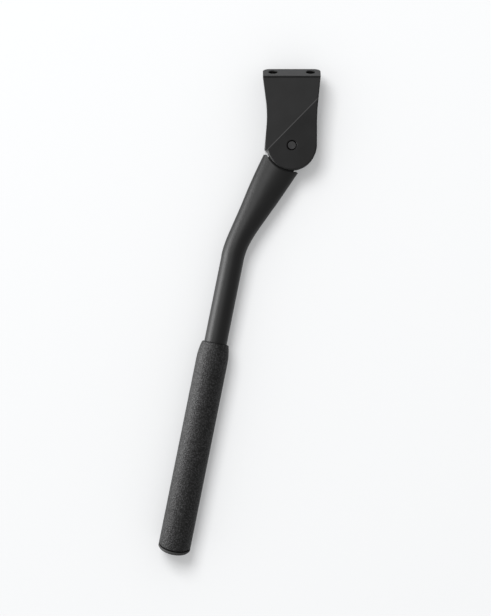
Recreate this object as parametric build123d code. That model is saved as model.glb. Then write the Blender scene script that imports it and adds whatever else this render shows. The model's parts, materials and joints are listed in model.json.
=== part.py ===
from build123d import *
from math import cos, radians, sin, tan
import os

# Rear side stand for a bicycle. A clevis head screws up against the frame, a forged leg swings in it
# between two detents, and a foot sleeve slides on the leg's rod, driven by a screw through its sole.
#
# Every piece is modelled in the swing frame: its origin is on the pivot's axis, halfway through the
# leg, with x towards the rear of the bicycle, y up along the head and z outwards along the pivot.
# The last step places it in the part's own frame, whose origin is midway between the screw holes.

# ---------------------------------------------------------------- sizes, in millimetres and degrees
# Mounting face
screw_spacing = 18.0        # between the two M5 screws
tap_bore = 4.2              # bore of an M5 thread
tap_depth = 10.0
tap_chamfer = 0.3
splay = 25.0                # the leg's plane of swing leans this far outwards
hole_to_front = 3.9         # screw holes' line to the head's front face
hole_to_back = 4.0          # screw holes' line to the back edge of the mounting face
mount_corner = 3.2          # round of the mounting face's back corners
lip = 0.8                   # ledge along the front edge of the mounting face

# Head
pivot_drop = 35.3           # mounting face down to the pivot
front_wall = 3.6
back_wall = 3.4
head_round = 12.1           # radius of the head's lower end
round_rise = 0.4            # its middle above the pivot
top_half_width = 13.85
pad_height = 2.4            # how far down the head keeps its full width
front_waist_height = 15.3   # height of the rear flank's waist above the pivot
waist_half_width = 11.5     # the other flank, at its narrowest
waist_height = 16.0
heel_half_width = 13.1      # the corner that the flank runs out to, beside the leg
heel_drop = 1.9
heel_turn = 15.0            # where the heel's bevel meets the head's round end
waist_blend = 60.0
flank_blend = 100.0
pad_blend = 6.0
heel_round = 0.6
front_edge = 0.5            # chamfer of the head's front rim
back_edge = 0.5
crease_offset = 6.8         # pivot to the crease across the front face
crease_angle = 45.5
facet_tilt = 4.0            # the lower facet falls away from the crease

# Leg
leg_lean = 29.7             # upper leg, from straight down
rod_lean = 11.4             # rod, from straight down
knee_reach = 54.7           # pivot to the corner of the knee
knee_radius = 45.0
rod_diameter = 11.0
leg_width = 19.6            # at the start of the taper
leg_set = 0.35              # its middle passes this far in front of the pivot
leg_thickness = 11.6
taper_start = 8.0           # from the pivot
taper_rate = 0.198          # width lost per length
shoulder_gap = 0.6          # head's round end to the leg's hollow shoulder
shoulder_reach = 9.9        # pivot to the shoulder's straight side
shoulder_drop = 4.3         # pivot down to the shoulder's other side
swing = 96.0                # deployed to stowed
tongue_thickness = 6.3
knuckle_radius = 9.4
neck_width = 14.0
stop_gap = 0.05

# Pivot
pin_diameter = 7.0
pin_nose = 4.8
pin_play = 0.02             # all round, in the bores
pin_recess = 0.4            # the nose lies this far under the front face
pin_chamfer = 0.5
pin_hole_chamfer = 0.25
bush_wall = 1.0
washer_thickness = 0.5
washer_diameter = 17.0
side_play = 0.05            # each side of each washer
roof_play = 0.6             # knuckle to the slot's roof
clip_thickness = 0.7
clip_depth = 0.8            # ring's outer face below the head's back face
clip_groove = 0.45
clip_width = 1.3
clip_gap = 2.5

# Detent
plunger_diameter = 6.8
plunger_play = 0.1
detent_depth = 1.2
ride_gap = 0.1              # plunger to the knuckle's rim when it is lifted
plunger_body = 6.0
plunger_cup = 4.5
spring_bore = 5.0
spring_diameter = 4.7
wire_width = 0.9            # flat wire, across the coil
wire_height = 1.0
spring_turns = 4.0
spring_length = 11.1        # with the plunger lifted
seat_thickness = 0.5

# Foot
sleeve_start = 48.4         # knee's corner to the top of the sleeve
sleeve_length = 98.8        # along the axis, to the middle of its slanted end
sleeve_top_diameter = 15.3
sleeve_end_diameter = 15.5
sleeve_mouth_diameter = 13.0
sleeve_taper = 8.5          # the mouth's round reaches the full diameter here
mouth_chamfer = 0.4
collar_length = 12.0
slide_play = 0.1
chamber_wall = 1.6
floor_thickness = 4.0
floor_to_end = 17.1         # top of the sleeve's floor to the middle of its slanted end
key_width = 2.0
key_height = 0.5
sole_slant = 20.0
sole_gap = 0.5              # groove between the sleeve and the sole
sole_gap_depth = 0.7
sole_rim = 1.3
sole_edge = 0.6             # chamfer round the sole's underside
sleeve_edge = 0.3
sole_plug = 5.5

# Rod's end and adjuster
rod_to_floor = 20.0         # rod's end to the sleeve's floor
rod_chamfer = 0.4
screw_chamfer = 0.8
insert_length = 10.0
insert_diameter = 8.6
screw_diameter = 6.0
screw_length = 50.0
screw_relief = 0.2
thread_play = 0.04
screw_head_diameter = 10.0
screw_head_height = 4.0
hex_key = 5.0
hex_depth = 2.6
screw_washer = 0.8
key_hole = 6.2              # through the sole, for the hex key
ring_thickness = 1.0
ring_groove = 0.5
ring_width = 1.9
ring_gap = 3.0
guide_length = 6.0
guide_depth = 0.7
guide_to_end = 18.0         # top of the guide ring to the rod's end
slide_up = 10.0

# ---------------------------------------------------------------- worked out from them
slot_width = tongue_thickness + 2 * washer_thickness + 4 * side_play
head_front = slot_width / 2 + front_wall
head_back = -slot_width / 2 - back_wall
hole_line = head_front - hole_to_front
slot_radius = knuckle_radius + roof_play
facet_height = head_front - crease_offset * tan(radians(facet_tilt))     # front face at the pivot
bore_roof = knuckle_radius + ride_gap + plunger_diameter / 2 + plunger_body - plunger_cup
bore_roof = bore_roof + spring_length + seat_thickness
leg_angle = 270 - leg_lean
rod_angle = 270 - rod_lean
knee_turn = leg_lean - rod_lean
knee_tangent = knee_radius * tan(radians(knee_turn / 2))
floor_top = sleeve_length - floor_to_end       # these three are down from the sleeve's top
rod_overlap = floor_top - rod_to_floor
guide_position = rod_overlap - guide_to_end
big = 60.0                  # reaches past the whole head in every direction


def unit(angle):
    return Vector(cos(radians(angle)), sin(radians(angle)), 0)


swing_frame = Plane(
    origin=(0, 0, 0), x_dir=(1, 0, 0), z_dir=(0, -cos(radians(splay)), sin(radians(splay)))
)
swing_frame = Plane(
    origin=swing_frame.from_local_coords((0, -pivot_drop, -hole_line)),
    x_dir=(1, 0, 0),
    z_dir=swing_frame.z_dir,
)
mount_plane = Plane(
    origin=(0, pivot_drop, hole_line), x_dir=(1, 0, 0), z_dir=(0, cos(radians(splay)), sin(radians(splay)))
)
knee = unit(leg_angle) * knee_reach
sleeve_top = knee + unit(rod_angle) * sleeve_start
rod_frame = Plane(origin=sleeve_top, x_dir=unit(rod_angle + 90), z_dir=unit(rod_angle))
slant_frame = Plane(
    origin=rod_frame.from_local_coords((0, 0, sleeve_length)),
    x_dir=rod_frame.x_dir,
    z_dir=rod_frame.z_dir * cos(radians(sole_slant)) - rod_frame.y_dir * sin(radians(sole_slant)),
)


def disc(radius, low, high):
    """A cylinder along z from low to high."""
    return Pos(0, 0, low) * Cylinder(radius, high - low, align=(Align.CENTER, Align.CENTER, Align.MIN))


def ring(outer, inner, low, high):
    return disc(outer, low, high) - disc(inner, low - 1, high + 1)


def beyond(depth):
    """Everything on the far side of a plane, to cut with, from its own z = depth."""
    return Pos(0, 0, depth) * Box(2 * big, 2 * big, big, align=(Align.CENTER, Align.CENTER, Align.MIN))


# ---------------------------------------------------------------- head
def head_outline():
    """Front view of the head, taller than the mounting face, which cuts it off."""
    top = pivot_drop + big / 2
    pad = pivot_drop - pad_height
    rear = FilletPolyline(
        (top_half_width, top),
        (top_half_width, pad),
        (head_round, front_waist_height),
        (head_round, round_rise),
        radius=[pad_blend, flank_blend],
    )
    round_end = CenterArc((0, round_rise), head_round, 0, heel_turn - 180)
    heel = Line(round_end @ 1, (-heel_half_width, -heel_drop))
    flank = FilletPolyline(
        (-heel_half_width, -heel_drop),
        (-waist_half_width, waist_height),
        (-top_half_width, pad),
        (-top_half_width, top),
        radius=[waist_blend, pad_blend],
    )
    outline = make_face(rear + round_end + heel + flank + Line(flank @ 1, rear @ 0))
    return fillet(outline.vertices().sort_by_distance((-heel_half_width, -heel_drop))[0], heel_round)


def head_block(front):
    """The head's outline as a block that ends in front at a plane, with both of its rims chamfered."""
    block = extrude(Pos(0, 0, head_back) * head_outline(), big) - front * beyond(0)
    block = chamfer(block.faces().sort_by(Axis.Z)[-1].edges(), front_edge)
    return chamfer(block.faces().sort_by(Axis.Z)[0].edges(), back_edge)


def upper_facet():
    return Plane(origin=(0, 0, head_front))


def lower_facet():
    """The plane that falls away from the crease, down towards the rear."""
    across = unit(crease_angle - 90)
    foot = unit(crease_angle + 90) * crease_offset
    normal = across * sin(radians(facet_tilt)) + Vector(0, 0, cos(radians(facet_tilt)))
    return Plane(origin=foot + Vector(0, 0, head_front), x_dir=unit(crease_angle), z_dir=normal)


def head_ledge():
    """The ledge along the front edge of the mounting face, with an underside at 45 degrees."""
    edge = pivot_drop - (head_front + lip - hole_line) * tan(radians(splay))
    depth = lip + front_edge
    side = Polyline(
        (edge, head_front + lip),
        (edge - depth, head_front + lip - depth),
        (pivot_drop, head_front + lip - depth),
        (pivot_drop, head_front + lip),
        close=True,
    )
    return extrude(Plane.YZ * make_face(side), big, both=True) & extrude(head_outline(), big)


def head_plan():
    """The mounting face seen from above, running on forwards past the head."""
    face = Pos(0, hole_to_back) * Rectangle(2 * top_half_width, big, align=(Align.CENTER, Align.MAX))
    return fillet(face.vertices().group_by(Axis.Y)[-1], mount_corner)


def slot_shape():
    """The leg's slot: round over the knuckle, then open between the two stops that the neck meets."""
    reach = (neck_width / 2 + stop_gap) / sin(radians(swing / 2))
    apex = unit(leg_angle + swing / 2 - 180) * reach
    wedge = make_face(
        Polyline(apex, apex + unit(leg_angle) * big, apex + unit(leg_angle + swing) * big, close=True)
    )
    return Circle(slot_radius) + wedge


def make_mount_head():
    body = head_block(upper_facet()) & head_block(lower_facet())
    body = body + head_ledge()
    body = body & extrude(mount_plane * head_plan(), -2 * big)
    body = body - extrude(slot_shape(), slot_width / 2, both=True)
    for side in (-1, 1):
        mouth = mount_plane * Pos(side * screw_spacing / 2, 0, 0)
        body = body - mouth * disc(tap_bore / 2, -tap_depth, 1)
        body = body - mouth * Pos(0, 0, -tap_chamfer / 2) * Cone(
            tap_bore / 2, tap_bore / 2 + tap_chamfer, tap_chamfer
        )
    bore = Plane(origin=(0, 0, 0), x_dir=(1, 0, 0), z_dir=(0, 1, 0))
    body = body - bore * disc(plunger_diameter / 2 + plunger_play, 0, bore_roof)
    body = body - disc(pin_nose / 2 + pin_play, 0, big)
    body = body - Pos(0, 0, facet_height - pin_hole_chamfer / 2) * Cone(
        pin_nose / 2 + pin_play, pin_nose / 2 + pin_play + pin_hole_chamfer, pin_hole_chamfer
    )
    body = body - disc(pin_diameter / 2 + pin_play, -big, 0)
    clip_outer = head_back + clip_depth
    body = body - disc(
        pin_diameter / 2 + clip_groove, clip_outer - side_play, clip_outer + clip_thickness + side_play
    )
    return body


# ---------------------------------------------------------------- pivot
def split_ring(outer, width, thickness, gap):
    """A snap ring lying on z = 0, open towards +x."""
    flat = Circle(outer) - Circle(outer - width) - Rectangle(2 * outer, gap, align=(Align.MIN, Align.CENTER))
    return extrude(flat, thickness)


def make_pivot_pin():
    nose_end = facet_height - pin_recess
    back_end = head_back + clip_depth + clip_thickness + side_play
    shoulder = slot_width / 2 - side_play
    pin = disc(pin_diameter / 2, back_end, shoulder) + disc(pin_nose / 2, shoulder, nose_end)
    return chamfer(pin.edges().group_by(Axis.Z)[-1], pin_chamfer)


def make_pin_clip():
    outer = pin_diameter / 2 + clip_groove - side_play
    return Pos(0, 0, head_back + clip_depth) * split_ring(outer, clip_width, clip_thickness, clip_gap)


def make_thrust_washer(low):
    return ring(washer_diameter / 2, pin_diameter / 2 + pin_play, low, low + washer_thickness)


def make_knuckle_bush():
    inner = pin_diameter / 2 + pin_play
    half = tongue_thickness / 2
    return ring(pin_diameter / 2 + bush_wall, inner, -half, half)


# ---------------------------------------------------------------- detent
plunger_frame = Plane(origin=(0, knuckle_radius + ride_gap, 0), x_dir=(1, 0, 0), z_dir=(0, 1, 0))
nose_radius = plunger_diameter / 2


def make_detent_plunger():
    body = disc(nose_radius, nose_radius, nose_radius + plunger_body) + Pos(0, 0, nose_radius) * Sphere(
        nose_radius
    )
    cup_floor = nose_radius + plunger_body - plunger_cup
    body = body - disc(spring_bore / 2, cup_floor, cup_floor + big)
    return plunger_frame * body


def make_detent_spring():
    """A flat-wire coil from the plunger's cup to the seat in the bore's roof."""
    low = nose_radius + plunger_body - plunger_cup + wire_height / 2
    coil = spring_length - wire_height
    path = Helix(pitch=coil / spring_turns, height=coil, radius=(spring_diameter - wire_width) / 2)
    across = Plane(origin=path @ 0, x_dir=(1, 0, 0), z_dir=path % 0)
    section = across * Rectangle(wire_width, wire_height - 2 * side_play)
    return plunger_frame * Pos(0, 0, low) * sweep(section, path=path, is_frenet=True)


def make_spring_seat():
    top = bore_roof - knuckle_radius - ride_gap
    return plunger_frame * disc(nose_radius, top - seat_thickness, top)


# ---------------------------------------------------------------- leg
def leg_section(distance):
    """Oval section of the upper leg at a distance from the pivot."""
    share = (distance - taper_start) / (knee_reach - taper_start)
    width = leg_width - taper_rate * (distance - taper_start)
    thickness = leg_thickness + (rod_diameter - leg_thickness) * share
    middle = unit(leg_angle) * distance + unit(leg_angle - 90) * leg_set * (1 - share)
    place = Plane(origin=middle, x_dir=unit(leg_angle + 90), z_dir=unit(leg_angle))
    return place * Ellipse(width / 2, thickness / 2)


def knee_section(share):
    """Section part of the way round the knee, from the oval to the round rod."""
    start = knee_reach - knee_tangent
    oval = leg_width - taper_rate * (start - taper_start)
    width = rod_diameter + (oval - rod_diameter) * (1 - share) ** 2
    centre = unit(leg_angle) * start + unit(leg_angle + 90) * knee_radius
    angle = leg_angle + knee_turn * share
    place = Plane(
        origin=centre - unit(angle + 90) * knee_radius, x_dir=unit(angle + 90), z_dir=unit(angle)
    )
    return place * Ellipse(width / 2, rod_diameter / 2)


def rod_from_sleeve_top(radius, low, high):
    return rod_frame * disc(radius, low, high)


def make_tongue():
    neck = Rot(0, 0, leg_angle) * Rectangle(
        taper_start + leg_width / 2, neck_width, align=(Align.MIN, Align.CENTER)
    )
    tongue = extrude(Circle(knuckle_radius) + neck, tongue_thickness / 2, both=True)
    nest = knuckle_radius + nose_radius + ride_gap - detent_depth - ride_gap / 2
    for turn in (90, 90 - swing):
        tongue = tongue - Pos(unit(turn) * nest) * Cylinder(nose_radius + ride_gap, 2 * tongue_thickness)
    return tongue


def make_leg():
    straight = knee_reach - knee_tangent
    stations = [taper_start - 3 + (straight - taper_start + 3) * step / 3 for step in range(3)]
    sections = [leg_section(distance) for distance in stations]
    sections = sections + [knee_section(share) for share in (0, 0.5, 1)]
    leg = loft(sections)
    leg = leg - disc(head_round + shoulder_gap, -big, big)
    left = Plane(origin=(0, -shoulder_drop, 0), x_dir=(-1, 0, 0), z_dir=(0, 1, 0))
    leg = leg - left * beyond(0)
    right = Plane(origin=unit(leg_angle) * shoulder_reach, z_dir=-unit(leg_angle))
    leg = leg - right * beyond(0)
    leg = leg + make_tongue()
    rod_top = knee_tangent - sleeve_start
    rod = disc(rod_diameter / 2, rod_top, rod_overlap)
    rod = chamfer(rod.edges().group_by(Axis.Z)[-1], rod_chamfer)
    leg = leg + rod_frame * rod
    leg = leg - disc(pin_diameter / 2 + bush_wall, -big, big)
    groove = ring(rod_diameter, rod_diameter / 2 - guide_depth, guide_position, guide_position + guide_length)
    leg = leg - rod_frame * groove
    leg = leg - rod_from_sleeve_top(insert_diameter / 2, rod_overlap - insert_length, rod_overlap + 1)
    bore_end = floor_top + floor_thickness + screw_washer - screw_length - slide_up - 1
    leg = leg - rod_from_sleeve_top(screw_diameter / 2 + screw_relief, bore_end, rod_overlap)
    leg = leg - rod_frame * guide_key(key_width, rod_diameter / 2 - 1.4, rod_diameter / 2 + 1)
    return leg


# ---------------------------------------------------------------- rod's end
def guide_key(width, low, high):
    """A bar along the rod on its inner side, between two radii."""
    return Pos(0, 0, guide_position) * Pos(0, -low, 0) * Box(
        width, high - low, guide_length, align=(Align.CENTER, Align.MAX, Align.MIN)
    )


def make_thread_insert():
    outer = insert_diameter / 2
    inner = screw_diameter / 2 + thread_play
    return rod_frame * ring(outer, inner, rod_overlap - insert_length, rod_overlap)


def chamber_radius():
    return sleeve_top_diameter / 2 - chamber_wall


def make_guide_ring():
    outer = chamber_radius() - slide_play
    body = ring(outer, rod_diameter / 2 - guide_depth, guide_position, guide_position + guide_length)
    middle = guide_position + guide_length / 2
    body = body - Pos(0, outer, middle) * Box(ring_gap, 2 * outer, 2 * guide_length)
    body = body + guide_key(key_width - 2 * slide_play, rod_diameter / 2 - 1.4, outer + key_height)
    return rod_frame * body


# ---------------------------------------------------------------- foot
def outermost_edge(body, frame):
    """The outer rim of the body's last face along a frame's z."""
    last = body.faces().filter_by(GeomType.PLANE).sort_by(Axis(frame.origin, frame.z_dir))[-1]
    return last.edges().sort_by(SortBy.LENGTH)[-1]


def make_foot_sleeve():
    """Turned about the rod's axis, with x as radius and y as distance from the sleeve's top."""
    mouth = sleeve_mouth_diameter / 2
    top = sleeve_top_diameter / 2
    end = sleeve_end_diameter / 2
    longest = sleeve_length + 2 * end
    collar = rod_diameter / 2 + slide_play
    chamber = chamber_radius()
    wall = Line((top, sleeve_taper), (end, longest))
    outline = (
        Polyline((collar, mouth_chamfer), (collar + mouth_chamfer, 0), (mouth, 0))
        + TangentArc((top, sleeve_taper), (mouth, 0), tangent=(0, -1))
        + wall
        + Polyline((end, longest), (chamber, longest), (chamber, floor_top + floor_thickness))
        + Polyline(
            (chamber, floor_top + floor_thickness),
            (screw_diameter / 2 + screw_relief, floor_top + floor_thickness),
            (screw_diameter / 2 + screw_relief, floor_top),
            (chamber, floor_top),
            (chamber, collar_length),
            (collar, collar_length),
            (collar, mouth_chamfer),
        )
    )
    profile = Plane.XZ * make_face(outline)
    body = revolve(profile, Axis.Z)
    body = body - Pos(0, -chamber, collar_length) * Box(
        key_width,
        2 * (key_height + slide_play),
        floor_top - collar_length,
        align=(Align.CENTER, Align.CENTER, Align.MIN),
    )
    groove_top = floor_top + floor_thickness + screw_washer + screw_head_height + slide_play
    body = body - disc(chamber + ring_groove, groove_top, groove_top + ring_thickness + 2 * side_play)
    body = rod_frame * body - slant_frame * beyond(0)
    return chamfer(outermost_edge(body, slant_frame), sleeve_edge)


def make_adjuster_washer():
    low = floor_top + floor_thickness
    inner = screw_diameter / 2 + screw_relief
    return rod_frame * ring(chamber_radius() - slide_play, inner, low, low + screw_washer - side_play)


def make_adjuster_screw():
    seat = floor_top + floor_thickness + screw_washer
    head_end = seat + screw_head_height
    body = disc(screw_diameter / 2, seat - screw_length, seat) + disc(screw_head_diameter / 2, seat, head_end)
    body = chamfer(body.edges().group_by(Axis.Z)[0], screw_chamfer)
    socket = extrude(
        Pos(0, 0, head_end - hex_depth) * RegularPolygon(hex_key / 2, 6, major_radius=False), hex_depth + 1
    )
    return rod_frame * (body - socket)


def make_retaining_ring():
    low = floor_top + floor_thickness + screw_washer + screw_head_height + slide_play + side_play
    outer = chamber_radius() + ring_groove - side_play
    return rod_frame * Pos(0, 0, low) * split_ring(outer, ring_width, ring_thickness, ring_gap)


def make_sole_pad():
    outer = sleeve_end_diameter / 2
    start = sleeve_length - sole_plug
    body = rod_frame * disc(outer, start, sleeve_length + 2 * outer)
    inside = rod_frame * ring(2 * outer, chamber_radius() - side_play, start - 1, sleeve_length + 2 * outer)
    body = body - (inside - slant_frame * beyond(0))
    neck = rod_frame * ring(2 * outer, outer - sole_gap_depth, start - 1, sleeve_length + 2 * outer)
    body = body - (neck - slant_frame * beyond(sole_gap))
    body = body - slant_frame * beyond(sole_gap + sole_rim)
    body = chamfer(outermost_edge(body, slant_frame), sole_edge)
    return body - rod_frame * disc(key_hole / 2, 0, sleeve_length + 3 * outer)


# ---------------------------------------------------------------- place and write
pieces = {
    "mount_head": make_mount_head(),
    "pivot_pin": make_pivot_pin(),
    "pivot_pin_clip": make_pin_clip(),
    "outer_thrust_washer": make_thrust_washer(slot_width / 2 - side_play - washer_thickness),
    "inner_thrust_washer": make_thrust_washer(side_play - slot_width / 2),
    "knuckle_bush": make_knuckle_bush(),
    "detent_plunger": make_detent_plunger(),
    "detent_spring": make_detent_spring(),
    "spring_seat": make_spring_seat(),
    "leg": make_leg(),
    "thread_insert": make_thread_insert(),
    "guide_ring": make_guide_ring(),
    "foot_sleeve": make_foot_sleeve(),
    "adjuster_washer": make_adjuster_washer(),
    "adjuster_screw": make_adjuster_screw(),
    "retaining_ring": make_retaining_ring(),
    "sole_pad": make_sole_pad(),
}

os.makedirs("parts", exist_ok=True)
for name, piece in pieces.items():
    export_step(piece.moved(swing_frame.location), f"parts/{name}.step")

print("pivot", swing_frame.origin, "axis", swing_frame.z_dir)
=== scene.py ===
# %% [markdown]
# # A rear side stand for a bicycle
#
# The stand is a clevis head that screws up against the bicycle's frame, a bent leg that swings in the
# head's slot, and a foot sleeve that slides on the leg's rod. All its shapes come from the packed
# model, which is loaded as a fixed frame. What is left to do here is what makes them look real: the
# finishes, a few details that are too fine for the solids, the surface it lies on, and the light.

# %% Load the frame
import json
from math import cos, pi, radians, sin, tan

import bmesh
import bpy
from mathutils import Matrix, Vector


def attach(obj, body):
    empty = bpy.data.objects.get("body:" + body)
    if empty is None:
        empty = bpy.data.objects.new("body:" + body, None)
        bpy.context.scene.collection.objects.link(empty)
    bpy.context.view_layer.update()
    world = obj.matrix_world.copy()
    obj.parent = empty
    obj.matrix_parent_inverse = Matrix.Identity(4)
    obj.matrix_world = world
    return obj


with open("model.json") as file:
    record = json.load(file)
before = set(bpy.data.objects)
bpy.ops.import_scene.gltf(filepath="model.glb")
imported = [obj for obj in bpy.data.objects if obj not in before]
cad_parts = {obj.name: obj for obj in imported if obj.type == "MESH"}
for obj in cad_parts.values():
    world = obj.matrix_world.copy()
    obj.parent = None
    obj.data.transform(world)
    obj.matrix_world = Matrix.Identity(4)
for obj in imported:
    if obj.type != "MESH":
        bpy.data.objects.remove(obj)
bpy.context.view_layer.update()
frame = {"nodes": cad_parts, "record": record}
mm = 0.001

# %% [markdown]
# The leg swings in a plane that leans outwards, and the stand is seen square to that plane. So it
# helps to have that plane's own directions: one along the bicycle, one up the head, and one out along
# the pivot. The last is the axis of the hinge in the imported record, and the others follow from it.

# %% The directions of the plane that the leg swings in
joints = {joint["name"]: joint for joint in frame["record"]["behaviour"]["joints"]}
rearward = Vector((1, 0, 0))
outward = Vector(joints["leg_swing"]["axis"]).normalized()
upward = outward.cross(rearward)
pivot = Vector(joints["leg_swing"]["pos_m"])
rod_axis = Vector(joints["foot_slide"]["axis"]).normalized()


def spot(across, up, out):
    """A point given in the swing plane's directions, in metres from between the screw holes."""
    return rearward * across + upward * up + outward * out


print("Pivot in mm", [round(value / mm, 2) for value in pivot])

# %% [markdown]
# ## Writing shader maths as sums
#
# A finish is a small sum over the surface: so much grain, a little cloudiness, a paler edge. Built by
# hand that is dozens of Math nodes. This class wraps a node's output, so that `a * 0.5 + b` adds the
# nodes by itself. Numbers use Math nodes, and vectors use Vector Math, because a Math node would turn
# them into a single grey value. Every other kind of node comes from the one method `node`.


# %% A socket that can be used in sums
class Socket:
    """An output of a material's nodes, with sums that add nodes."""

    def __init__(self, tree, output=None):
        self.tree = tree
        self.output = output

    def node(self, kind, settings=None, sockets=None, output=0):
        """Adds a node of a kind, with its settings first and then its sockets' values or links."""
        made = self.tree.nodes.new("ShaderNode" + kind)
        for name, value in (settings or {}).items():
            setattr(made, name, value)
        for name, value in (sockets or {}).items():
            if isinstance(value, Socket):
                self.tree.links.new(value.output, made.inputs[name])
            else:
                made.inputs[name].default_value = value
        return Socket(self.tree, made.outputs[output])

    def sum(self, operation, first, second):
        """One step of a sum. A plain number beside a vector counts for all its three values."""
        if self.output.type != "VECTOR":
            return self.node("Math", {"operation": operation}, {0: first, 1: second})
        first, second = [
            side if isinstance(side, Socket) or hasattr(side, "__len__") else (side, side, side)
            for side in (first, second)
        ]
        return self.node("VectorMath", {"operation": operation}, {0: first, 1: second})

    def __add__(self, other):
        return self.sum("ADD", self, other)

    def __radd__(self, other):
        return self.sum("ADD", other, self)

    def __sub__(self, other):
        return self.sum("SUBTRACT", self, other)

    def __rsub__(self, other):
        return self.sum("SUBTRACT", other, self)

    def __mul__(self, other):
        return self.sum("MULTIPLY", self, other)

    def __rmul__(self, other):
        return self.sum("MULTIPLY", other, self)

    def dot(self, other):
        return self.node("VectorMath", {"operation": "DOT_PRODUCT"}, {0: self, 1: other}, "Value")

    def length(self):
        return self.node("VectorMath", {"operation": "LENGTH"}, {0: self}, "Value")

    def sine(self):
        return self.node("Math", {"operation": "SINE"}, {0: self})

    def between(self, low, high):
        """0 below low, 1 above high, and smooth in between."""
        return self.node(
            "MapRange",
            {"interpolation_type": "SMOOTHSTEP"},
            {"Value": self, "From Min": low, "From Max": high},
        )

    def blend(self, start, end):
        """Colour that goes from start to end as this goes from 0 to 1."""
        start, end = [side if isinstance(side, Socket) else (*side, 1) for side in (start, end)]
        return self.node("Mix", {"data_type": "RGBA"}, {"Factor": self, 6: start, 7: end}, 2)


print("Sums of sockets are ready")

# %% [markdown]
# ## What every finish starts from
#
# Each finish needs a material with one Principled shader, the place on the piece in millimetres, and
# softened edges. The place is measured on the piece itself, so the grain stays put when the leg
# swings. Real edges are never quite sharp. They could be rounded in the mesh, at the cost of many
# faces, but the Bevel node bends the shading round them for nothing. Where the bent normal leaves the
# true one there is an edge, so their difference makes a mask: rubbed rubber and steel are paler
# there, and on the black anodised pieces the mask paints shade, a darker line along each edge.
#
# In the sums that follow, the plain numbers are weights: how much each pattern counts.

# %% A blank finish and its first measurements
bevel_samples = 6
least_bend = 0.01
full_bend = 0.12


def blank(name, **constants):
    """A new material, its Principled shader with these constants, and a socket to start sums from."""
    material = bpy.data.materials.new(name)
    material.use_nodes = True
    tree = material.node_tree
    shader = tree.nodes["Principled BSDF"]
    for socket, value in constants.items():
        shader.inputs[socket.replace("_", " ")].default_value = value
    return material, shader, Socket(tree)


def wire_up(shader, **varying):
    """Links what changes over the surface to the shader's sockets."""
    for socket, value in varying.items():
        value.tree.links.new(value.output, shader.inputs[socket.replace("_", " ")])


def place_in_mm(start):
    return start.node("TexCoord", output="Object") * (1 / mm)


def soft_normal(start, radius):
    """The normal, bent round the piece's edges over a radius in millimetres."""
    return start.node("Bevel", {"samples": bevel_samples}, {"Radius": radius * mm})


def edge_mask(bent):
    """1 where a bent normal leaves the true one, and 0 on the flat."""
    true = bent.node("NewGeometry", output="True Normal")
    return (1 - bent.dot(true)).between(least_bend, full_bend)


def noise(place, grain, detail=2.0, roughness=0.5):
    """Noise from 0 to 1 whose lumps are about grain millimetres across."""
    return place.node(
        "TexNoise",
        {"noise_dimensions": "3D"},
        {"Vector": place, "Scale": 1 / grain, "Detail": detail, "Roughness": roughness},
    )


def bump(height, depth, normal):
    """Bends a normal by a height from 0 to 1 that stands for a depth in millimetres."""
    return height.node("Bump", sockets={"Height": height, "Distance": depth * mm, "Normal": normal})


print("Blank finish is ready")

# %% [markdown]
# ## Black anodised aluminium
#
# The head and the leg are forged and machined, blasted with fine glass beads and anodised black. The
# beads leave a dimpled, satin skin that spreads a highlight, and the anodising is never one flat
# black: it is a shade cloudier in places. Anodising is a clear hard layer, so the shader isn't metal
# but a dark base under a soft gloss.
#
# Two places on the head get painted light. Where the two facets of its front meet, a hair-thin pale
# line along the crease is a painted highlight. The mounting face is painted lighter, a painted sheen
# for the light it reflects. New faces with materials of their own would mean cutting the imported
# mesh, which is not to be changed. So both are masks, found from the place on the piece: how far it
# lies from the crease's line, and how high.

# %% Where light is painted on the head
crease_offset = 6.8
crease_angle = radians(45.5)
crease_width = 0.22
# Grey of the painted highlight along the crease
crease_highlight_grey = (0.037, 0.037, 0.037)
head_front = 7.35
front_fade = 0.6
# The mounting face is painted lighter, a painted sheen that fades in from this depth in mm
sheen_depth = 0.3
sheen_skin = 0.05
sheen_grey = (0.018, 0.018, 0.0185)


def crease_highlight(place):
    """1 along the crease across the head's front, where a highlight is painted, and 0 elsewhere."""
    across = rearward * sin(crease_angle) - upward * cos(crease_angle)
    from_pivot = place - tuple(pivot / mm)
    off_line = from_pivot.dot(tuple(across)) + crease_offset
    forward = from_pivot.dot(tuple(outward))
    in_front = forward.between(head_front - front_fade, head_front - front_fade / 2)
    return (1 - (off_line * off_line).between(0, crease_width * crease_width)) * in_front


def mount_face_sheen(place):
    """1 on the mounting face, which lies at height 0 and gets a painted sheen, and 0 below it."""
    return place.dot((0, 0, 1)).between(-sheen_depth, -sheen_skin)


def head_painted_light(place, colour):
    """The head's colour, with a painted highlight on its crease and a painted sheen on its mounting
    face.
    """
    colour = crease_highlight(place).blend(colour, crease_highlight_grey)
    return mount_face_sheen(place).blend(colour, sheen_grey)


print("Crease", crease_width * 2, "mm wide,", crease_offset, "mm from the pivot")


# %% Anodised finishes for the head and the leg
def anodised(name, dark, light, roughness, dimple, depth, gloss, light_marks=None):
    """Blasted and anodised skin. The beads' dimples are given in millimetres, across and deep."""
    material, shader, start = blank(name, Specular_IOR_Level=gloss)
    place = place_in_mm(start)
    bent = soft_normal(start, radius=0.35)
    edge = edge_mask(bent)
    clouds = noise(place, grain=9.0)
    dimples = noise(place, grain=dimple, detail=3.0, roughness=0.6)
    # Painted shade: the edge mask makes the black darker along every edge
    colour = (clouds * 0.45 + dimples * 0.20 - edge * 0.9).blend(dark, light)
    if light_marks:
        colour = light_marks(place, colour)
    wire_up(
        shader,
        Base_Color=colour,
        Roughness=roughness + (clouds - 0.5) * 0.08 + (dimples - 0.5) * 0.12 - edge * 0.08,
        Normal=bump(dimples, depth, bent),
    )
    return material


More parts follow.
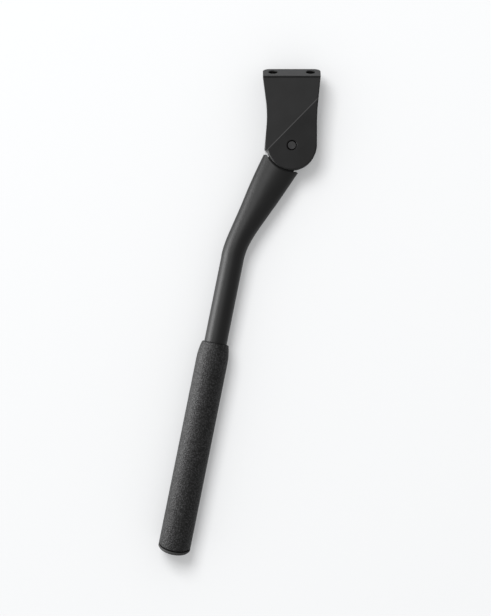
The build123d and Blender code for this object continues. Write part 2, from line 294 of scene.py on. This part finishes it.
head_black = anodised(
    "black_anodised_head",
    dark=(0.001, 0.001, 0.001),
    light=(0.011, 0.011, 0.0112),
    roughness=0.46,
    dimple=0.30,
    depth=0.010,
    gloss=0.17,
    light_marks=head_painted_light,
)
leg_black = anodised(
    "black_anodised_leg",
    dark=(0.002, 0.002, 0.002),
    light=(0.006, 0.006, 0.0062),
    roughness=0.46,
    dimple=0.22,
    depth=0.007,
    gloss=0.18,
)
print("Anodised finishes:", head_black.name, leg_black.name)

# %% [markdown]
# ## The moulded sleeve
#
# The sleeve is moulded in a tool whose wall was etched, so its skin is covered in rounded grains well
# under a millimetre across, which give grip and hide scratches. Thousands of modelled grains would
# weigh the model down, so they are a bump. A smooth Voronoi pattern gives separate grains with dark
# lines between them, and noise of the same size bends the grains and breaks their edges up. The same
# height also sets the colour. The dark valleys between the grains are painted shade, and the grit and
# patches in it vary the tone.

# %% Granular moulded plastic
sleeve_black, shader, start = blank("granular_black_plastic", Specular_IOR_Level=0.17)
place = place_in_mm(start)
grains_per_mm = 1.6
grain_wander = noise(place, grain=0.8) * 0.4
grains = place.node(
    "TexVoronoi",
    {"feature": "SMOOTH_F1"},
    {"Vector": place + grain_wander, "Scale": grains_per_mm, "Smoothness": 0.3},
    "Distance",
)
grit = noise(place, grain=0.6, detail=1.0)
patches = noise(place, grain=2.6)
height = (1 - grains) * 0.6 + grit * 0.5 + patches * 0.1
# Base colour: painted shade in the valleys between the grains, and tone that varies with grit and
# patches
wire_up(
    shader,
    Base_Color=height.between(0.5, 0.95).blend((0.001, 0.001, 0.001), (0.024, 0.024, 0.0245)),
    Roughness=0.46 + (grit - 0.5) * 0.3 + grains * 0.2,
    Normal=bump(height, depth=0.24, normal=soft_normal(start, radius=0.25)),
)
print("Sleeve finish:", sleeve_black.name)

# %% [markdown]
# ## Rubber for the sole
#
# The sole is the one piece that touches the road. It is solid black rubber, matt and a little dusty,
# and its rim is scuffed paler. Two noises are enough: a fine one for the skin and a broad one for
# the dust.

# %% Matt rubber
rubber, shader, start = blank("matt_black_rubber", Specular_IOR_Level=0.2)
place = place_in_mm(start)
bent = soft_normal(start, radius=0.2)
skin = noise(place, grain=0.25, detail=4.0, roughness=0.65)
dust = noise(place, grain=3.0)
wire_up(
    shader,
    Base_Color=(dust * 0.6 + edge_mask(bent) * 0.3).blend((0.008, 0.008, 0.008), (0.034, 0.034, 0.034)),
    Roughness=0.66 + (skin - 0.5) * 0.2,
    Normal=bump(skin, depth=0.03, normal=bent),
)
print("Sole finish:", rubber.name)

# %% [markdown]
# ## Turned metals
#
# The pivot pin is blackened steel whose end was turned in a lathe, which leaves rings round its axis.
# Inside there are a brass thread insert and plated and phosphated steel pieces, made the same way.
# Rings could be an image, but a sine of the distance from the axis gives them at any size, and the
# distance along the axis is added so that the sides get the bands that a cutter leaves there.


# %% Metals with rings round an axis
def turned(name, axis, centre, dark, light, roughness, pitch, depth, metallic):
    """Metal with tool marks, a pitch apart in millimetres, round an axis through a centre."""
    material, shader, start = blank(name, Metallic=metallic)
    place = place_in_mm(start) - tuple(value / mm for value in centre)
    bent = soft_normal(start, radius=0.15)
    along = place.dot(tuple(axis))
    on_axis = place.node("VectorMath", {"operation": "SCALE"}, {0: tuple(axis), "Scale": along})
    radius = (place - on_axis).length()
    wander = noise(place, grain=1.2)
    rings = ((radius + along + wander * 0.08) * (2 * pi / pitch)).sine() * 0.5 + 0.5
    stains = noise(place, grain=2.0, detail=3.0)
    wire_up(
        shader,
        Base_Color=(stains * 0.6 + rings * 0.15 + edge_mask(bent) * 0.4).blend(dark, light),
        Roughness=roughness + (stains - 0.5) * 0.14 + rings * 0.04,
        Normal=bump(rings, depth, bent),
    )
    return material


pin_steel = turned(
    "blackened_turned_steel",
    outward,
    pivot,
    dark=(0.006, 0.006, 0.006),
    light=(0.022, 0.022, 0.023),
    roughness=0.42,
    pitch=0.24,
    depth=0.006,
    metallic=0.6,
)
screw_steel = turned(
    "plated_steel",
    rod_axis,
    spot(0, 0, 0),
    dark=(0.10, 0.10, 0.105),
    light=(0.26, 0.26, 0.27),
    roughness=0.34,
    pitch=0.5,
    depth=0.004,
    metallic=1.0,
)
phosphate_steel = turned(
    "phosphated_spring_steel",
    outward,
    pivot,
    dark=(0.05, 0.05, 0.052),
    light=(0.12, 0.12, 0.125),
    roughness=0.5,
    pitch=0.4,
    depth=0.003,
    metallic=0.8,
)
insert_brass = turned(
    "turned_brass",
    rod_axis,
    spot(0, 0, 0),
    dark=(0.50, 0.34, 0.14),
    light=(0.78, 0.58, 0.30),
    roughness=0.28,
    pitch=0.3,
    depth=0.004,
    metallic=1.0,
)
print("Metals:", pin_steel.name, screw_steel.name, phosphate_steel.name, insert_brass.name)

# %% [markdown]
# ## Bearing plastic
#
# The bush, the washers beside the knuckle and the ring that guides the rod are a pale bearing plastic
# that needs no oil. It is smooth, with faint clouds from the way it flowed into its mould.

# %% Pale plastic that needs no oil
bearing, shader, start = blank("natural_bearing_plastic", Specular_IOR_Level=0.45)
place = place_in_mm(start)
bent = soft_normal(start, radius=0.1)
flow = noise(place, grain=4.0, detail=3.0)
wire_up(
    shader,
    Base_Color=(flow * 0.8 + edge_mask(bent) * 0.2).blend((0.52, 0.50, 0.44), (0.68, 0.66, 0.60)),
    Roughness=0.45 + (flow - 0.5) * 0.15,
    Normal=bump(flow, depth=0.01, normal=bent),
)
print("Bearing finish:", bearing.name)

# %% [markdown]
# ## Giving each piece its finish
#
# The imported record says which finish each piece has. Its names are matched to the materials above, so
# a piece that is added to the model later gets its finish by itself.

# %% Assign the finishes
finishes = {
    "head_finish": head_black,
    "leg_finish": leg_black,
    "pin_steel": pin_steel,
    "spring_steel": phosphate_steel,
    "hard_steel": screw_steel,
    "bearing_polymer": bearing,
    "insert_brass": insert_brass,
    "sleeve_plastic": sleeve_black,
    "sole_rubber": rubber,
}
for subpart in frame["record"]["subparts"]:
    piece = frame["nodes"][subpart["node"]]
    piece.data.materials.clear()
    piece.data.materials.append(finishes[subpart["material_slot"]])

# %% [markdown]
# ## The threads in the mounting face
#
# Two M5 screws come down through the frame's stand plate into the head. The solids have plain bores,
# as a drilled hole has before it is tapped, because a modelled thread costs thousands of facets there.
# Here each bore gets its thread: one V-shaped rib swept along a helix, from just under the chamfer.
# The rib starts and ends by growing out of the wall, so that no cut end shows.

# %% The thread's sizes and finish
screw_spacing = frame["record"]["mounts"][0]["dims"]["spacing_x_mm"] * mm
bore_radius = frame["record"]["mounts"][0]["dims"]["hole_r_mm"] * mm
thread_pitch = 0.8 * mm
thread_reach = 7.2 * mm
thread_start = 0.8 * mm
thread_height = 0.28 * mm
root_half = 0.42 * thread_pitch
crest_half = 0.07 * thread_pitch
root_radius = bore_radius - 0.02 * mm
steps_per_turn = 28
# A far deeper black than the head's: painted shade for the shade inside the bores
thread_shade_black = anodised(
    "thread_painted_shade",
    dark=(0.001, 0.001, 0.001),
    light=(0.004, 0.004, 0.004),
    roughness=0.6,
    dimple=0.3,
    depth=0.004,
    gloss=0.05,
)
print("Threads", round(thread_reach / mm, 1), "mm deep, finish", thread_shade_black.name)


# %% Threads
def thread_rib(name, across):
    """A helical rib that stands on the bore's wall and points to its axis."""
    mesh = bmesh.new()
    steps = int(thread_reach / thread_pitch * steps_per_turn)
    rows = []
    for step in range(steps + 1):
        angle = 2 * pi * step / steps_per_turn
        middle = -thread_start - thread_pitch * step / steps_per_turn
        grown = min(1, step / steps_per_turn, (steps - step) / steps_per_turn)
        crest_radius = root_radius - thread_height * grown
        profile = (
            (root_radius, middle + root_half),
            (crest_radius, middle + crest_half),
            (crest_radius, middle - crest_half),
            (root_radius, middle - root_half),
        )
        rows.append(
            [
                mesh.verts.new((across + radius * cos(angle), radius * sin(angle), height))
                for radius, height in profile
            ]
        )
    for first, second in zip(rows, rows[1:]):
        for corner in range(4):
            after = (corner + 1) % 4
            mesh.faces.new((first[corner], first[after], second[after], second[corner]))
    mesh.faces.new(rows[0])
    mesh.faces.new(reversed(rows[-1]))
    bmesh.ops.recalc_face_normals(mesh, faces=mesh.faces)
    data = bpy.data.meshes.new(name)
    mesh.to_mesh(data)
    mesh.free()
    rib = bpy.data.objects.new(name, data)
    bpy.context.scene.collection.objects.link(rib)
    data.materials.append(thread_shade_black)
    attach(rib, "head")
    print(name, len(data.polygons), "faces")


for name, side in (("front_mount_thread", -1), ("rear_mount_thread", 1)):
    thread_rib(name, side * screw_spacing / 2)

# %% [markdown]
# ## Three rings of painted shade
#
# Three gaps show as thin black lines: round the pivot pin's end, in the sleeve's mouth where the rod
# goes in, and in the groove between the sleeve and its sole. Each gap gets a soft black ring, which is
# painted shade: it draws the shade that falls into the gap. Each is a round section that follows an
# ellipse, because the sole's groove is cut at a slant. A torus from Blender's own shapes could make
# only the round ones. The one in the mouth is set just clear of the rod, so that the sleeve still
# slides.

# %% A deep black for painted shade and a ring maker
# Near-black matt material for the rings of painted shade
gap_shade_black, shader, start = blank("painted_gap_shade", Specular_IOR_Level=0.02)
place = place_in_mm(start)
wire_up(
    shader,
    Base_Color=noise(place, grain=0.4).blend((0.0008, 0.0008, 0.0008), (0.003, 0.003, 0.003)),
    Roughness=0.8 + noise(place, grain=0.3) * 0.1,
)


def soft_ring(name, body, centre, side, depth, section, steps=96, sides=12):
    """A ring of round section whose line is the ellipse with the half axes side and depth."""
    mesh = bmesh.new()
    along = side.cross(depth).normalized()
    loops = []
    for step in range(steps):
        turn = 2 * pi * step / steps
        out = side * cos(turn) + depth * sin(turn)
        loop = []
        for corner in range(sides):
            lean = 2 * pi * corner / sides
            offset = out.normalized() * cos(lean) + along * sin(lean)
            loop.append(mesh.verts.new(centre + out + offset * section))
        loops.append(loop)
    for step in range(steps):
        first = loops[step]
        second = loops[(step + 1) % steps]
        for corner in range(sides):
            after = (corner + 1) % sides
            mesh.faces.new((first[corner], first[after], second[after], second[corner]))
    bmesh.ops.recalc_face_normals(mesh, faces=mesh.faces)
    data = bpy.data.meshes.new(name)
    mesh.to_mesh(data)
    mesh.free()
    data.shade_smooth()
    data.materials.append(gap_shade_black)
    made = bpy.data.objects.new(name, data)
    bpy.context.scene.collection.objects.link(made)
    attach(made, body)
    print(name, len(data.polygons), "faces")


print("Ring rubber:", gap_shade_black.name)

# %% Ring round the pivot pin's end
pin_end = max(vertex.co.dot(outward) for vertex in frame["nodes"]["pivot_pin"].data.vertices)
pin_ring_radius = 2.13 * mm
pin_ring_section = 0.28 * mm
pin_ring_drop = 0.04 * mm
# A ring of painted shade round the pin's end
soft_ring(
    "pin_shade_ring",
    "head",
    pivot + outward * (pin_end - pivot.dot(outward) - pin_ring_drop),
    rearward * pin_ring_radius,
    upward * pin_ring_radius,
    pin_ring_section,
)

# %% Ring in the sleeve's mouth
mouth = Vector(joints["adjuster_turn"]["pos_m"])
across_rod = rod_axis.cross(outward)
mouth_ring_radius = 5.87 * mm
mouth_ring_section = 0.34 * mm
mouth_ring_drop = 0.12 * mm
# A ring of painted shade in the sleeve's mouth
soft_ring(
    "mouth_shade_ring",
    "foot",
    mouth + rod_axis * mouth_ring_drop,
    across_rod * mouth_ring_radius,
    outward * mouth_ring_radius,
    mouth_ring_section,
)

# %% Ring in the groove above the sole
sleeve_length = 98.8 * mm
sole_slant = radians(20)
groove_middle = 0.25 * mm
groove_ring_radius = 7.28 * mm
groove_ring_section = 0.24 * mm
square_to_sole = rod_axis * cos(sole_slant) - outward * sin(sole_slant)
# A ring of painted shade in the groove above the sole
soft_ring(
    "groove_shade_ring",
    "foot",
    mouth + rod_axis * sleeve_length + square_to_sole * groove_middle,
    across_rod * groove_ring_radius,
    (outward + rod_axis * tan(sole_slant)) * groove_ring_radius,
    groove_ring_section,
)

# %% [markdown]
# ## The surface it lies on
#
# The stand lies on a white board that is square to the line of sight, so its shadow hugs it on the
# side away from the light. Paint alone would leave the board grey in this light, so it also glows a
# little, but only for the camera and in reflections: the glow lights nothing. The board takes no part
# in scattered light or in shadows on other things, so the pale room reaches the stand's back as well.
# It has only a front: seen from behind it is clear, and a view from that side looks straight at the
# back of the stand.

# %% The board
board_gap = 8.1 * mm
board_half = 0.9
board_grey = (0.55, 0.555, 0.56, 1)
glow_colour = (0.99, 0.995, 1)
glow_strength = 0.14
plane_depth = pivot.dot(outward) - board_gap
board_middle = spot(-0.02, -0.12, plane_depth)
corners = [
    board_middle + (rearward * across + upward * up) * board_half
    for across, up in ((-1, -1), (1, -1), (1, 1), (-1, 1))
]
board_mesh = bpy.data.meshes.new("board")
board_mesh.from_pydata(corners, [], [(0, 1, 2, 3)])
board = bpy.data.objects.new("board", board_mesh)
bpy.context.scene.collection.objects.link(board)
board_white, shader, start = blank("white_board", Roughness=0.9, Specular_IOR_Level=0.0)
shader.inputs["Base Color"].default_value = board_grey
shader.inputs["Emission Strength"].default_value = glow_strength
rays = start.node("LightPath", output="Is Camera Ray")
for kind in ("Is Glossy Ray", "Is Transmission Ray"):
    rays = rays + start.node("LightPath", output=kind)
wire_up(shader, Emission_Color=rays.blend((0, 0, 0), glow_colour))
paint = Socket(start.tree, shader.outputs[0])
clear = start.node("BsdfTransparent")
seen_from_behind = start.node("NewGeometry", output="Backfacing")
surface = start.node("MixShader", sockets={"Fac": seen_from_behind, 1: paint, 2: clear})
start.tree.links.new(surface.output, start.tree.nodes["Material Output"].inputs["Surface"])
board_mesh.materials.append(board_white)
board.visible_diffuse = False
board.visible_shadow = False
print("Board is", round(plane_depth / mm, 1), "mm out from the screw holes")

# %% [markdown]
# ## Light
#
# A black object shows its shape by what it reflects. The room is pale, which fills in every side. A
# large key light, above the left shoulder of the camera, lights the board and casts the shadow. A
# small softbox stands close by, to the left of the rod and almost level with the board. It draws a
# long soft highlight down the leg and the sleeve, and because it is so near, the highlight fades
# towards the foot. It would also leave a pool of light on the board, so light linking takes the board
# out of what it lights, and it is hidden from the camera, so that a view from its side looks past it.


# %% Lamps and room
stand_middle = spot(-0.022, -0.11, 0)
room_grey = (0.8, 0.8, 0.8, 1)


def lamp(name, across, up, out, width, height, power):
    """An area light, placed from the stand's middle in the swing plane's directions and aimed at it."""
    data = bpy.data.lights.new(name, "AREA")
    data.shape = "RECTANGLE"
    data.size = width
    data.size_y = height
    data.energy = power
    light = bpy.data.objects.new(name, data)
    bpy.context.scene.collection.objects.link(light)
    light.location = stand_middle + spot(across, up, out)
    light.rotation_mode = "QUATERNION"
    light.rotation_quaternion = (stand_middle - light.location).to_track_quat("-Z", "Y")
    return light


lamp("key", across=-0.80, up=1.35, out=2.5, width=1.4, height=1.4, power=76)
softbox = lamp("left_softbox", across=-0.22, up=0.03, out=0.022, width=0.176, height=0.264, power=2.5)
softbox.visible_camera = False
not_the_board = bpy.data.collections.new("not_the_board")
not_the_board.objects.link(board)
not_the_board.collection_objects[0].light_linking.link_state = "EXCLUDE"
softbox.light_linking.receiver_collection = not_the_board
world = bpy.data.worlds.new("studio")
bpy.context.scene.world = world
world.use_nodes = True
world.node_tree.nodes["Background"].inputs["Color"].default_value = room_grey
world.node_tree.nodes["Background"].inputs["Strength"].default_value = 1.0
print("Two lamps and a pale room")

# %% [markdown]
# ## Camera
#
# The camera looks straight along the pivot, from far enough away that both ends look the same size.
# Its lens follows from how much the picture should span at that distance, so the framing is set in
# metres and not by trying lenses.

# %% Camera
picture_height = 0.2957
camera_distance = 1.5
view_centre = spot(-0.02218, -0.1133, 0)
camera_data = bpy.data.cameras.new("camera")
camera_data.lens = camera_data.sensor_width * camera_distance / picture_height
camera = bpy.data.objects.new("camera", camera_data)
bpy.context.scene.collection.objects.link(camera)
turn = Matrix((rearward, upward, outward)).transposed().to_4x4()
camera.matrix_world = Matrix.Translation(view_centre + outward * camera_distance) @ turn
bpy.context.scene.camera = camera
bpy.context.scene.view_settings.view_transform = "Standard"
print("Lens", round(camera_data.lens, 1), "mm")
